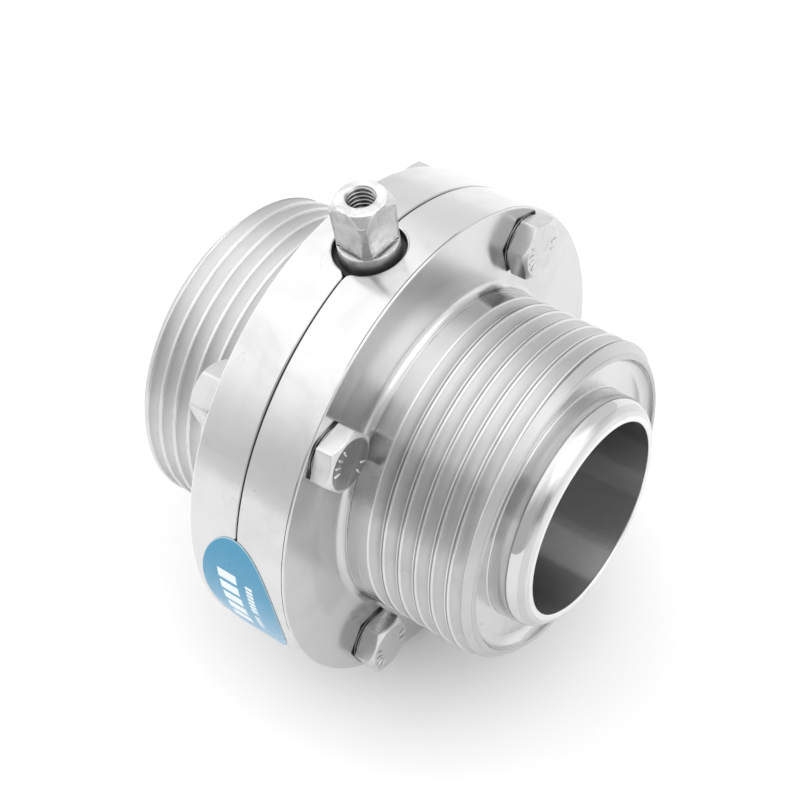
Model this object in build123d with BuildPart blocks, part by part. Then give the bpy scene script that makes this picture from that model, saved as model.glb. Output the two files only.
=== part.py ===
from build123d import *
from math import atan, cos, degrees, radians, sin, sqrt, tan
import os

# A sanitary butterfly valve with a male screwed union on each end. Sizes are in millimetres.
# The origin is the middle of the disc, where the pipe axis (X) meets the stem axis (Z).
# The front half lies on +X and the rear half is the same casting turned about the stem.

# Body
bore_r = 17.5
thread_r = 29.1
neck_to_bolts = 8.1
bolts_to_rim = 6.1
rim_edge_r = 0.5
seam_chamfer = 0.2

# Screwed end: neck, thread, end face, recess and nose
neck_length = 25.2
neck_root_r = 1.4
thread_pitch = 3.175
thread_depth = 1.1
groove_r = 1.2
runout_gap = 3.75
runout_angle = 79
runout_turn = 250
end_chamfer = 1.8
end_face_width = 0.8
recess_depth = 1.95
recess_corner_r = 1.8
nose_wall = 3.3
nose_reach = 4.7
nose_blend_length = 3.65
nose_blend_bulge = 0.72
lip_width = 0.9
lip_round = 0.3

# Seat ring, held in a groove that the two halves share
seat_proud = 0.25
seat_lip_depth = 2.25
seat_shoulder_depth = 1.0
seat_key_depth = 2.5
seat_lip_half = 5.0
seat_shoulder_length = 2.0
seat_cover = 2.85
seat_clearance = 0.05

# Disc and stem, one piece
disc_clearance = 0.25
disc_rim_half = 1.5
disc_rim_land = 1.4
disc_hub_half = 3.4
disc_hub_r = 6.0
stem_r = 5.0
stem_collar_height = 1.7
stem_square_length = 8.6
square_across = 8.0
stem_chamfer_width = 0.95
stem_chamfer_height = 1.15
stem_thread_r = 2.1
stem_thread_mouth = 0.4
stem_thread_length = 12.0
trunnion_end_gap = 0.4
running_clearance = 0.05

# Bushes in the body
bush_wall = 1.9
bush_clearance = 0.05
bush_seat_gap = 0.1
bush_neck_wall = 0.85
bush_neck_sink = 1.6
upper_bush_length = 6.9
lower_bush_length = 9.9

# Bolts and nuts
bolt_count = 4
bolt_first_angle = 45
bolt_r = 2.95
bolt_hole_clearance = 0.35
bolt_end_proud = 0.3
bolt_tip_chamfer = 0.6
hex_across = 9.85
hex_face_r = 4.45
hex_bevel = 30
head_height = 4.0
washer_face_r = 4.75
washer_face_height = 0.5
nut_height = 5.0
nut_thread_clearance = 0.05
nut_countersink = 0.4

# How far each bolt head and nut happens to be turned, in degrees
head_turns = [35.7, 1.9, 47.6, 20.0]
nut_turns = [12.0, 22.0, 5.0, 50.0]

# Oval label over the seam, on the side of the rim that faces -Y
label_half_width = 7.9
label_half_length = 15.4
label_offset_x = -0.4
label_drop_angle = 2.6
label_thickness = 0.15
label_clearance = 0.02

os.makedirs("parts", exist_ok=True)

# Radii that follow from them, from the bore outwards
seat_bore_r = bore_r - seat_proud
seat_lip_r = seat_bore_r + seat_lip_depth
seat_key_r = seat_lip_r + seat_shoulder_depth
seat_outer_r = seat_key_r + seat_key_depth
disc_r = seat_bore_r - disc_clearance
lip_r = bore_r + lip_width
nose_r = bore_r + nose_wall
recess_r = thread_r - end_chamfer - end_face_width
bolt_circle_r = thread_r + neck_to_bolts
rim_r = bolt_circle_r + bolts_to_rim

# Places along the pipe axis
seat_key_half = seat_lip_half + seat_shoulder_length
flange_half = seat_key_half + seat_cover
runout_x = flange_half + runout_gap
end_face_x = flange_half + neck_length
recess_floor_x = end_face_x - recess_depth
nose_x = end_face_x + nose_reach

# Places along the stem axis, and radii about it
square_from = rim_r + stem_collar_height
stem_top = square_from + stem_square_length
bush_from = seat_outer_r + bush_seat_gap
upper_bush_step = bush_from + upper_bush_length
lower_pocket_end = bush_from + lower_bush_length
trunnion_end = lower_pocket_end - trunnion_end_gap
bush_bore_r = stem_r + running_clearance
bush_r = bush_bore_r + bush_wall
bush_neck_r = bush_bore_r + bush_neck_wall


def finish(builder, label):
    """Labels one finished piece and writes it."""
    builder.part.label = label
    export_step(builder.part, f"parts/{label}.step")


def spiral(x, angle, radius, length, cone=0):
    """Helix about the pipe axis. It starts at x and at angle, from +Z towards -Y."""
    turned = Plane((x, 0, 0), x_dir=(0, -sin(radians(angle)), cos(radians(angle))), z_dir=(1, 0, 0))
    return turned * Helix(thread_pitch / cos(radians(cone)), length, radius, cone_angle=cone)


# Body half

def thread_groove(path, start):
    """Round groove cut along a helix, with its end square to the direction start."""
    with BuildPart() as groove:
        with BuildSketch(Plane(path @ 0, x_dir=(1, 0, 0), z_dir=start)):
            Circle(groove_r)
        sweep(path=path, is_frenet=True)
    return groove.part


# The groove fades out towards the flange on a spiral that widens until it leaves the metal.
groove_line_r = thread_r - thread_depth + groove_r
runout_length = thread_pitch * runout_turn / 360
runout_cone = -degrees(atan(thread_depth / runout_length))
fading_line = spiral(runout_x, runout_angle, thread_r + groove_r, runout_length, runout_cone)
full_line = spiral(
    runout_x + runout_length,
    runout_angle + runout_turn,
    groove_line_r,
    end_face_x + thread_pitch - runout_x - runout_length,
)
fading_groove = thread_groove(fading_line, fading_line % 0)
full_groove = thread_groove(full_line, fading_line % 1)

with BuildPart() as front_body:
    # Threaded bar, longer than the neck, then cut back to the end face and its chamfer
    with BuildSketch(Plane.YZ):
        Circle(thread_r)
    extrude(amount=end_face_x + 2 * thread_pitch)
    add(full_groove, mode=Mode.SUBTRACT)
    add(fading_groove, mode=Mode.SUBTRACT)
    with BuildSketch(Plane.XY):
        with BuildLine():
            Polyline(
                (0, 0),
                (0, rim_r),
                (end_face_x - end_chamfer - (rim_r - thread_r), rim_r),
                (end_face_x, thread_r - end_chamfer),
                (end_face_x, 0),
                close=True,
            )
        make_face()
    revolve(axis=Axis.X, mode=Mode.INTERSECT)
    # Flange with a rounded front edge, a chamfered seam edge and a round root at the neck
    neck_root_top = thread_r + neck_root_r
    neck_root_end = flange_half + neck_root_r
    with BuildSketch(Plane.XY):
        with BuildLine():
            Polyline((flange_half, 0), (0, 0), (0, rim_r - seam_chamfer), (seam_chamfer, rim_r))
            Line((seam_chamfer, rim_r), (flange_half - rim_edge_r, rim_r))
            TangentArc((flange_half - rim_edge_r, rim_r), (flange_half, rim_r - rim_edge_r), tangent=(1, 0))
            Line((flange_half, rim_r - rim_edge_r), (flange_half, neck_root_top))
            TangentArc((flange_half, neck_root_top), (neck_root_end, thread_r), tangent=(0, -1))
            Polyline((neck_root_end, thread_r), (neck_root_end, 0), (flange_half, 0))
        make_face()
    revolve(axis=Axis.X)
    # Recess round the nose
    with BuildSketch(Plane.XY):
        with BuildLine():
            Polyline(
                (recess_floor_x, recess_r - recess_corner_r),
                (recess_floor_x, 0),
                (end_face_x, 0),
                (end_face_x, recess_r),
                (recess_floor_x + recess_corner_r, recess_r),
            )
            TangentArc(
                (recess_floor_x + recess_corner_r, recess_r),
                (recess_floor_x, recess_r - recess_corner_r),
                tangent=(-1, 0),
            )
        make_face()
    revolve(axis=Axis.X, mode=Mode.SUBTRACT)
    # Nose with its bulging outer edge
    with BuildSketch(Plane.XY):
        with BuildLine():
            blend_x = nose_x - nose_blend_length
            Polyline(
                (nose_x, lip_r),
                (nose_x, 0),
                (recess_floor_x, 0),
                (recess_floor_x, nose_r),
                (blend_x, nose_r),
            )
            middle = Vector((blend_x + nose_x) / 2, (nose_r + lip_r) / 2)
            outward = Vector(nose_r - lip_r, nose_blend_length).normalized() * nose_blend_bulge
            ThreePointArc((blend_x, nose_r), middle + outward, (nose_x, lip_r))
        make_face()
    revolve(axis=Axis.X)
    # Bore, with its mouth rounded
    with BuildSketch(Plane.XY):
        with BuildLine():
            mouth = (nose_x, bore_r + lip_round)
            throat = (nose_x - lip_round, bore_r)
            Polyline(mouth, (nose_x, 0), (0, 0), (0, bore_r), throat)
            TangentArc(mouth, throat, tangent=(0, -1))
        make_face()
    revolve(axis=Axis.X, mode=Mode.SUBTRACT)
    # Half of the groove for the seat ring
    with BuildSketch(Plane.XY):
        with BuildLine():
            Polyline(
                (0, 0),
                (seat_lip_half + seat_clearance, 0),
                (seat_lip_half + seat_clearance, seat_lip_r),
                (seat_key_half + seat_clearance, seat_key_r),
                (seat_key_half + seat_clearance, seat_outer_r + seat_clearance),
                (0, seat_outer_r + seat_clearance),
                close=True,
            )
        make_face()
    revolve(axis=Axis.X, mode=Mode.SUBTRACT)
    # Half of the stem hole, of the pocket for the upper bush and of the pocket for the lower bush
    for radius, start, end in [
        (bush_neck_r, seat_key_r, 2 * rim_r),
        (bush_r, seat_key_r, upper_bush_step + bush_clearance),
        (bush_r, -seat_key_r, -lower_pocket_end - bush_clearance),
    ]:
        with BuildSketch(Plane.XY.offset(start)):
            Circle(radius + bush_clearance)
        extrude(amount=end - start, mode=Mode.SUBTRACT)
    # Bolt holes
    with BuildSketch(Plane.YZ):
        with PolarLocations(bolt_circle_r, bolt_count, start_angle=bolt_first_angle):
            Circle(bolt_r + bolt_hole_clearance)
    extrude(amount=flange_half, mode=Mode.SUBTRACT)
finish(front_body, "front_body")

with BuildPart() as rear_body:
    add(front_body.part.rotate(Axis.Z, 180))
finish(rear_body, "rear_body")


# Seat ring

with BuildPart() as seat_ring:
    with BuildSketch(Plane.XY):
        with BuildLine():
            Polyline(
                (-seat_lip_half, seat_bore_r),
                (-seat_lip_half, seat_lip_r),
                (-seat_key_half, seat_key_r),
                (-seat_key_half, seat_outer_r),
                (seat_key_half, seat_outer_r),
                (seat_key_half, seat_key_r),
                (seat_lip_half, seat_lip_r),
                (seat_lip_half, seat_bore_r),
                close=True,
            )
        make_face()
    revolve(axis=Axis.X)
    with BuildSketch(Plane.XY):
        Circle(bush_bore_r)
    extrude(amount=seat_outer_r, both=True, mode=Mode.SUBTRACT)
finish(seat_ring, "seat_ring")


# Disc and stem

with BuildPart() as valve_disc:
    # Lens with a spherical rim
    rim_land_r = sqrt(disc_r**2 - disc_rim_half**2)
    disc_land_r = disc_r - disc_rim_land
    with BuildSketch(Plane.XY):
        with BuildLine():
            Polyline(
                (-disc_rim_half, rim_land_r),
                (-disc_rim_half, disc_land_r),
                (-disc_hub_half, disc_hub_r),
                (-disc_hub_half, 0),
                (disc_hub_half, 0),
                (disc_hub_half, disc_hub_r),
                (disc_rim_half, disc_land_r),
                (disc_rim_half, rim_land_r),
            )
            ThreePointArc((disc_rim_half, rim_land_r), (0, disc_r), (-disc_rim_half, rim_land_r))
        make_face()
    revolve(axis=Axis.X)
    # Turned stem with a bevelled top
    with BuildSketch(Plane.XZ):
        with BuildLine():
            Polyline(
                (0, -trunnion_end),
                (stem_r, -trunnion_end),
                (stem_r, stem_top - stem_chamfer_height),
                (stem_r - stem_chamfer_width, stem_top),
                (0, stem_top),
                close=True,
            )
        make_face()
    revolve(axis=Axis.Z)
    # Four flats for the handle
    with BuildSketch(Plane.XY.offset(square_from)):
        Circle(2 * stem_r)
        Rectangle(square_across, square_across, mode=Mode.SUBTRACT)
    extrude(amount=stem_top - square_from, mode=Mode.SUBTRACT)
    # Tapped hole for the handle's screw
    with Locations((0, 0, stem_top)):
        CounterSinkHole(stem_thread_r, stem_thread_r + stem_thread_mouth, stem_thread_length, 90)
finish(valve_disc, "valve_disc")


# Bushes

with BuildPart() as upper_bush:
    with BuildSketch(Plane.XZ):
        with BuildLine():
            bush_neck_top = rim_r - bush_neck_sink
            Polyline(
                (bush_bore_r, bush_from),
                (bush_r, bush_from),
                (bush_r, upper_bush_step),
                (bush_neck_r, upper_bush_step),
                (bush_neck_r, bush_neck_top),
                (bush_bore_r, bush_neck_top),
                close=True,
            )
        make_face()
    revolve(axis=Axis.Z)
finish(upper_bush, "upper_bush")

with BuildPart() as lower_bush:
    with BuildSketch(Plane.XY.offset(-lower_pocket_end)):
        Circle(bush_r)
        Circle(bush_bore_r, mode=Mode.SUBTRACT)
    extrude(amount=lower_pocket_end - bush_from)
finish(lower_bush, "lower_bush")


# Bolts and nuts

hex_corner_r = hex_across / sqrt(3)
bolt_length = 2 * flange_half + nut_height + bolt_end_proud
nut_bore_r = bolt_r + nut_thread_clearance
bevel_drop = (hex_corner_r - hex_face_r) * tan(radians(hex_bevel))


def hex_block(seat, start, end, turn, both_ends=False):
    """Hexagonal block from start to end over its seat, bevelled as if turned."""
    with BuildPart() as block:
        with BuildSketch(seat.offset(start)):
            RegularPolygon(hex_corner_r, 6, rotation=turn)
        extrude(amount=end - start)
        foot = [(hex_corner_r, start)]
        if both_ends:
            foot = [(hex_face_r, start), (hex_corner_r, start + bevel_drop)]
        top = [(hex_corner_r, end - bevel_drop), (hex_face_r, end)]
        with BuildSketch(Plane(seat.origin, x_dir=seat.x_dir, z_dir=-seat.y_dir)):
            with BuildLine():
                Polyline((0, start), *foot, *top, (0, end), close=True)
            make_face()
        revolve(axis=Axis(seat.origin, seat.z_dir), mode=Mode.INTERSECT)
    return block.part


def bolt_spot(index, x, side):
    """Plane on the flange at one bolt. It looks out along X, to the front or, at side -1, to the rear."""
    angle = radians(bolt_first_angle + index * 360 / bolt_count)
    centre = (x, bolt_circle_r * cos(angle), bolt_circle_r * sin(angle))
    return Plane(centre, x_dir=(0, side, 0), z_dir=(side, 0, 0))


for index in range(bolt_count):
    under_head = bolt_spot(index, flange_half, 1)
    with BuildPart() as bolt:
        add(hex_block(under_head, washer_face_height, head_height, head_turns[index]))
        with BuildSketch(under_head):
            Circle(washer_face_r)
        extrude(amount=washer_face_height)
        with BuildSketch(under_head):
            Circle(bolt_r)
        extrude(amount=-bolt_length)
        chamfer(bolt.edges().sort_by(Axis.X)[0], bolt_tip_chamfer)
    finish(bolt, f"bolt_{index + 1}")

for index in range(bolt_count):
    rear_face = bolt_spot(index, -flange_half, -1)
    with BuildPart() as nut:
        add(hex_block(rear_face, 0, nut_height, nut_turns[index], both_ends=True))
        with Locations(rear_face.offset(nut_height)):
            CounterSinkHole(nut_bore_r, nut_bore_r + nut_countersink, nut_height, 120)
    finish(nut, f"nut_{index + 1}")


# Label

with BuildPart() as label:
    with BuildSketch(Plane.YZ.offset(label_offset_x - label_half_width)):
        Circle(rim_r + label_clearance + label_thickness)
        Circle(rim_r + label_clearance, mode=Mode.SUBTRACT)
    extrude(amount=2 * label_half_width)
    label_height = -rim_r * sin(radians(label_drop_angle))
    with BuildSketch(Plane.XZ):
        with Locations((label_offset_x, label_height)):
            Ellipse(label_half_width, label_half_length)
    extrude(amount=2 * rim_r, mode=Mode.INTERSECT)
finish(label, "label")
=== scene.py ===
from types import SimpleNamespace
import bpy
import numpy as np
from mathutils import Matrix, Vector
from mathutils.geometry import delaunay_2d_cdt


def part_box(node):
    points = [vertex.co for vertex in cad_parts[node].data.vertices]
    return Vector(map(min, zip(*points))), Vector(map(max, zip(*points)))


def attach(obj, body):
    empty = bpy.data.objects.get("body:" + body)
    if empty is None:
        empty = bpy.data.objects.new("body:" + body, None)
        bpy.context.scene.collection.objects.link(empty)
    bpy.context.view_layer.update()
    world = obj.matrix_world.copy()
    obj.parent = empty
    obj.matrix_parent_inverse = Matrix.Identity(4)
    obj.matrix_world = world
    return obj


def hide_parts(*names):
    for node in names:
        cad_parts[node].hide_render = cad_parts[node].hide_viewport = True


# A sanitary butterfly valve of bright turned steel, lying on a white table.
# X runs along the pipe and Z along the stem. Sizes are in millimetres until a mesh is made.

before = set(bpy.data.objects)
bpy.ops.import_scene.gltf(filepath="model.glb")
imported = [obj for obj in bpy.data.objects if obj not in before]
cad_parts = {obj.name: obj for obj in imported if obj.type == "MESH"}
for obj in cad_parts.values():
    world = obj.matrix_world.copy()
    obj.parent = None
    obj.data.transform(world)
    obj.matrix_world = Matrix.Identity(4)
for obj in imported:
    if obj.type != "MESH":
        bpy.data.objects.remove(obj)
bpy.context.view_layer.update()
mm = 0.001
weldStep = 0.00037  # points closer than this are one point


def nodeBox(name):
    low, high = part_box(name)
    return np.array(low) / mm, np.array(high) / mm


print("frame loaded:", len(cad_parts), "nodes")


# Mesh tools. A patch is a set of points, the outward normal at each, and triangles.

def unit(vectors):
    return vectors / np.maximum(np.linalg.norm(vectors, axis=-1, keepdims=True), 1e-12)


def welded(points):
    # The number that each point gets when points at one place count as one.
    cells = np.round(points / weldStep).astype(np.int64)
    return np.unique(cells, axis=0, return_index=True, return_inverse=True)


def gridTriangles(rows, columns):
    # Each cell between four neighbouring points of a grid becomes two triangles.
    index = np.arange(rows * columns).reshape(rows, columns)
    a, b, c, d = index[:-1, :-1], index[:-1, 1:], index[1:, 1:], index[1:, :-1]
    return np.stack([a, b, c, a, c, d], -1).reshape(-1, 3)


def areaVectors(points, triangles):
    a, b, c = (points[triangles[:, k]] for k in range(3))
    return np.cross(b - a, c - a)


def gridPatch(points, normals):
    # A grid whose normals are known. Its triangles are turned to agree with them.
    normals = unit(np.broadcast_to(normals, points.shape)).reshape(-1, 3)
    triangles = gridTriangles(*points.shape[:2])
    points = points.reshape(-1, 3)
    agree = np.sum(areaVectors(points, triangles) * normals[triangles].mean(axis=1))
    return points, normals, triangles if agree > 0 else triangles[:, ::-1]


def formPatch(points):
    # A closed grid whose normals come from its own shape. Its triangles are turned so that it holds a
    # positive volume. Each normal is the sum of the area vectors of the triangles round its point, so
    # that broad faces stay flat and narrow edges take the turn.
    triangles = gridTriangles(*points.shape[:2])
    points = points.reshape(-1, 3)
    if np.sum(points[triangles[:, 0]] * areaVectors(points, triangles)) < 0:
        triangles = triangles[:, ::-1]
    area = areaVectors(points, triangles)
    first, number = welded(points)[1:]
    number = number.reshape(-1)
    total = np.zeros((len(first), 3))
    for corner in range(3):
        np.add.at(total, number[triangles[:, corner]], area)
    return points, unit(total[number]), triangles


def flatPatch(loops, x, side):
    # A flat face at one x, inside its first outline and outside the others. Outlines are (y, z) points.
    # The others are round, so a triangle with all its corners on one of them lies in that hole.
    corners = np.concatenate(loops)
    counts = [len(loop) for loop in loops]
    owner = np.repeat(np.arange(len(loops)), counts)
    ends = np.cumsum(counts)
    following = np.arange(1, len(corners) + 1)
    following[ends - 1] = ends - counts
    edges = np.stack([np.arange(len(corners)), following], -1)
    made = delaunay_2d_cdt([Vector(p) for p in corners.tolist()], edges.tolist(), [], 2, 1e-5)
    source = np.array([origin[0] for origin in made[3]])
    triangles = source[np.array(made[2])]
    owners = owner[triangles]
    triangles = triangles[(owners != owners[:, :1]).any(axis=1) | (owners[:, 0] == 0)]
    points = np.column_stack([np.full(len(corners), float(x)), corners])
    normals = np.tile([float(side), 0.0, 0.0], (len(corners), 1))
    agree = np.sum(areaVectors(points, triangles)[:, 0]) * side
    return points, normals, triangles if agree > 0 else triangles[:, ::-1]


def turned(patch, matrix):
    points, normals, triangles = patch
    return points @ matrix.T, normals @ matrix.T, triangles


def addObject(name, data):
    made = bpy.data.objects.new(name, data)
    bpy.context.scene.collection.objects.link(made)
    return made


def shell(name, patches, material):
    # One mesh of all patches: points that meet are joined, empty triangles go, and each corner keeps
    # the normal of its own patch, so that edges between patches are crisp.
    starts = np.cumsum([0] + [len(patch[0]) for patch in patches])
    points = np.concatenate([patch[0] for patch in patches])
    normals = np.concatenate([patch[1] for patch in patches])
    triangles = np.concatenate([patch[2] + start for patch, start in zip(patches, starts)])
    first, number = welded(points)[1:]
    corners = number.reshape(-1)[triangles]
    whole = (corners != np.roll(corners, 1, axis=1)).all(axis=1)
    corners, triangles = corners[whole], triangles[whole]
    mesh = bpy.data.meshes.new(name)
    mesh.vertices.add(len(first))
    mesh.vertices.foreach_set("co", (points[first] * mm).astype(np.float32).ravel())
    mesh.loops.add(corners.size)
    mesh.loops.foreach_set("vertex_index", corners.astype(np.int32).ravel())
    mesh.polygons.add(len(corners))
    mesh.polygons.foreach_set("loop_start", np.arange(0, corners.size, 3, dtype=np.int32))
    mesh.update(calc_edges=True)
    mesh.shade_smooth()
    mesh.normals_split_custom_set(normals[triangles].reshape(-1, 3).tolist())
    mesh.materials.append(material)
    print("made", name, len(corners), "triangles")
    return addObject(name, mesh)


def around(x, r, angle):
    # Points about the pipe axis. The angle is 0 at +Z and grows towards -Y.
    return np.stack(np.broadcast_arrays(x, -r * np.sin(angle), r * np.cos(angle)), -1)


def aroundNormals(along, outward, sideways, angle):
    # The same for normals, from their parts along X, away from the axis and round it.
    y = -outward * np.sin(angle) - sideways * np.cos(angle)
    z = outward * np.cos(angle) - sideways * np.sin(angle)
    return np.stack(np.broadcast_arrays(along, y, z), -1)


def roundedProfile(corners, rounds, chords):
    # A profile through corners, with the outside on its left. A corner becomes an arc of its own
    # radius, or with radius 0 a crisp edge, which is two points with the normals of both sides.
    corners = np.array(corners, float)
    along = unit(np.diff(corners, axis=0))
    outward = np.stack([-along[:, 1], along[:, 0]], -1)
    points, normals = [corners[:1]], [outward[:1]]
    for k, radius in enumerate(rounds):
        before, after = outward[k], outward[k + 1]
        turn = np.arctan2(before[0] * after[1] - before[1] * after[0], before @ after)
        angles = np.linspace(0, turn, chords + 1 if radius else 2)[:, None]
        crossed = np.array([-before[1], before[0]])
        swept = before * np.cos(angles) + crossed * np.sin(angles)
        start = corners[k + 1] - along[k] * radius * abs(np.tan(turn / 2))
        points.append(start + np.sign(-turn) * radius * (swept - before))
        normals.append(swept)
    points.append(corners[-1:])
    normals.append(outward[-1:])
    return np.concatenate(points), np.concatenate(normals)


def lathe(profile, angles):
    # A profile of (x, r) points turned about the pipe axis.
    points, normals = profile
    x, r = points[:, :1], points[:, 1:]
    return gridPatch(around(x, r, angles), aroundNormals(normals[:, :1], normals[:, 1:], 0, angles))


# Camera, at the photograph's angle

viewer = {
    "place": (134.27, -136.15, 232.08),
    "heading": 134.433,  # the way it looks, from +X towards +Y
    "dip": 49.838,  # how far it looks down
    "roll": -9.985,
    "lens": 77.493,
}


def makeCamera():
    # Right, up and forward are a level frame at the heading, dipped and then rolled.
    heading, dip, roll = np.radians([viewer["heading"], viewer["dip"], viewer["roll"]])
    forward = np.array([np.cos(dip) * np.cos(heading), np.cos(dip) * np.sin(heading), -np.sin(dip)])
    level = np.array([np.sin(heading), -np.cos(heading), 0])
    right = np.cos(roll) * level + np.sin(roll) * np.cross(level, forward)
    up = np.cross(right, forward)
    data = bpy.data.cameras.new("camera")
    data.lens = viewer["lens"]
    data.sensor_width = 36
    data.clip_start = 0.01
    data.clip_end = 20
    camera = addObject("camera", data)
    turn = Matrix(np.column_stack([right, up, -forward]).tolist()).to_4x4()
    camera.matrix_world = Matrix.Translation(Vector(viewer["place"]) * mm) @ turn
    bpy.context.scene.camera = camera


makeCamera()
print("camera placed")


# Node tools. A value is a number or a node's output, and an output knows the tree it is in.

def fill(node, inputs):
    # Gives named inputs of a node their values: an output is linked, anything else is set.
    for socket, value in inputs.items():
        if isinstance(value, bpy.types.NodeSocket):
            node.id_data.links.new(value, node.inputs[socket])
        else:
            node.inputs[socket].default_value = value


def addNode(tree, kind, inputs=None, **settings):
    node = tree.nodes.new(kind)
    for option, value in settings.items():
        setattr(node, option, value)
    fill(node, inputs or {})
    return node


def calc(operation, *values):
    tree = next(value.id_data for value in values if isinstance(value, bpy.types.NodeSocket))
    return addNode(tree, "ShaderNodeMath", dict(enumerate(values)), operation=operation).outputs[0]


def times(first, *others):
    for other in others:
        first = calc("MULTIPLY", first, other)
    return first


def plus(first, *others):
    for other in others:
        first = calc("ADD", first, other)
    return first


def distance(first, second):
    return calc("SQRT", plus(calc("POWER", first, 2.0), calc("POWER", second, 2.0)))


def ramp(value, fromLow, fromHigh, toLow=0.0, toHigh=1.0):
    # A soft step from one value to another.
    inputs = {"Value": value, "From Min": fromLow, "From Max": fromHigh, "To Min": toLow, "To Max": toHigh}
    step = addNode(value.id_data, "ShaderNodeMapRange", inputs, interpolation_type="SMOOTHSTEP")
    return step.outputs["Result"]


def band(value, limits, soft):
    # 1 between two limits and 0 outside them, with soft ends.
    low, high = limits
    return times(ramp(value, low - soft, low), ramp(value, high, high + soft, 1.0, 0.0))


def noise(point, scale, detail=2.0, roughness=0.5, distortion=0.0):
    inputs = {"Vector": point, "Scale": scale, "Detail": detail, "Roughness": roughness,
              "Distortion": distortion}
    return addNode(point.id_data, "ShaderNodeTexNoise", inputs).outputs["Fac"]


def split(point):
    return addNode(point.id_data, "ShaderNodeSeparateXYZ", {0: point}).outputs


def mixed(factor, first, second):
    # A colour between two others.
    inputs = {0: factor, 6: first, 7: second}
    return addNode(factor.id_data, "ShaderNodeMix", inputs, data_type="RGBA").outputs[2]


def newGroup(name, values, results):
    # A node group that takes a point and named values, each with its first setting, and gives results.
    group = bpy.data.node_groups.new(name, "ShaderNodeTree")
    newSocket = group.interface.new_socket
    newSocket("Point", in_out="INPUT", socket_type="NodeSocketVector")
    for label, value in values.items():
        newSocket(label, in_out="INPUT", socket_type="NodeSocketFloat").default_value = value
    for label in results:
        newSocket(label, in_out="OUTPUT", socket_type="NodeSocketFloat")
    return group, group.nodes.new("NodeGroupInput").outputs, group.nodes.new("NodeGroupOutput")


def useGroup(group, inputs):
    return addNode(inputs["Point"].id_data, "ShaderNodeGroup", inputs, node_tree=group).outputs


# Marks that all steel pieces share. Sizes are in millimetres, levels are those of a noise from 0 to 1.
wear = {
    "lineRound": 1.3, "broadScale": 0.09,  # how fast tool marks change round the axis, and the broad ones
    "stainLevels": (0.42, 0.72), "lineShine": 0.05,
    "pitCell": 2.6, "pitLevels": (0.80, 0.84), "pitEdge": (0.035, 0.07), "pitTone": 0.5, "pitDeep": 12.0,
    "hairSize": 5.0, "hairTurn": (0.5, 0.3, 0.9), "hairStretch": (1.0, 0.16, 0.16), "hairWidth": 0.006,
    "hairPlace": 9.0, "hairLevels": (0.5, 0.6), "hairTone": 0.2,
}
coil = {"pitch": 3.175, "from": 13.6, "angle": 79.5, "to": 33.6, "fade": (0.05, 0.40)}


def makeTurnedLines():
    # Tool marks of the lathe: noise that runs fast along X and away from the pipe axis, and slowly
    # round it, so that it draws rings on cylinders and faces alike.
    group, given, result = newGroup("turned lines", {"Line Width": 0.2}, ["Fine", "Broad"])
    parts = split(given["Point"])
    perMetre = calc("DIVIDE", 1 / mm, given["Line Width"])
    spread = {0: times(parts["X"], perMetre), 1: times(distance(parts["Y"], parts["Z"]), perMetre),
              2: times(calc("ARCTAN2", parts["Y"], parts["Z"]), wear["lineRound"])}
    spread = addNode(group, "ShaderNodeCombineXYZ", spread).outputs[0]
    fill(result, {"Fine": noise(spread, 1.0, 2.0, 0.6),
                  "Broad": noise(spread, wear["broadScale"], 3.0, 0.55)})
    return group


def makeHandlingMarks():
    # Signs of handling: cloudy stains, small pits, and hairlines where a stretched noise crosses a level.
    group, given, result = newGroup("handling marks", {"Cloud Size": 14.0}, ["Clouds", "Pits", "Hairlines"])
    point = given["Point"]
    clouds = noise(point, calc("DIVIDE", 1 / mm, given["Cloud Size"]), 4.0, 0.62, 0.6)
    cells = {"Vector": point, "Scale": 1 / (wear["pitCell"] * mm)}
    cells = addNode(group, "ShaderNodeTexVoronoi", cells).outputs
    rare = addNode(group, "ShaderNodeSeparateColor", {0: cells["Color"]}).outputs[0]
    pits = times(ramp(rare, *wear["pitLevels"]), ramp(cells["Distance"], *wear["pitEdge"], 1.0, 0.0))
    slanted = {"Vector": point, "Rotation": wear["hairTurn"], "Scale": wear["hairStretch"]}
    slanted = addNode(group, "ShaderNodeMapping", slanted).outputs[0]
    near = calc("ABSOLUTE", calc("SUBTRACT", noise(slanted, 1 / (wear["hairSize"] * mm), 1.0, 0.4), 0.5))
    place = noise(point, 1 / (wear["hairPlace"] * mm), 1.0)
    hairlines = times(ramp(near, 0.0, wear["hairWidth"], 1.0, 0.0), ramp(place, *wear["hairLevels"]))
    fill(result, {"Clouds": clouds, "Pits": pits, "Hairlines": hairlines})
    return group


def makeThreadPlace():
    # Where a point lies across the thread, in millimetres from the nearest crest: x, less what the
    # thread climbs up to the point's angle, folded into one pitch. The rear half is the front one turned
    # round, so the side of x also turns y. The cut of the groove runs from 0 to 1 on the first turn.
    group, given, result = newGroup("thread place", {}, ["From Crest", "Cut"])
    parts = split(given["Point"])
    across = times(parts["Y"], calc("SIGN", parts["X"]), -1.0)
    angle = calc("SUBTRACT", calc("ARCTAN2", across, parts["Z"]), float(np.radians(coil["angle"])))
    since = calc("FRACT", calc("DIVIDE", angle, 2 * np.pi))
    place = calc("DIVIDE", calc("ABSOLUTE", parts["X"]), mm)
    count = calc("DIVIDE", calc("SUBTRACT", place, coil["from"]), coil["pitch"])
    count = calc("SUBTRACT", count, since)
    fromCrest = times(calc("SUBTRACT", calc("FRACT", count), 0.5), coil["pitch"])
    cut = calc("MAXIMUM", ramp(since, *coil["fade"]), calc("GREATER_THAN", count, 1.0))
    cut = times(cut, calc("GREATER_THAN", count, 0.0), calc("LESS_THAN", place, coil["to"]))
    fill(result, {"From Crest": fromCrest, "Cut": cut})
    return group


turnedLines = makeTurnedLines()
handlingMarks = makeHandlingMarks()
threadPlace = makeThreadPlace()


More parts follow.
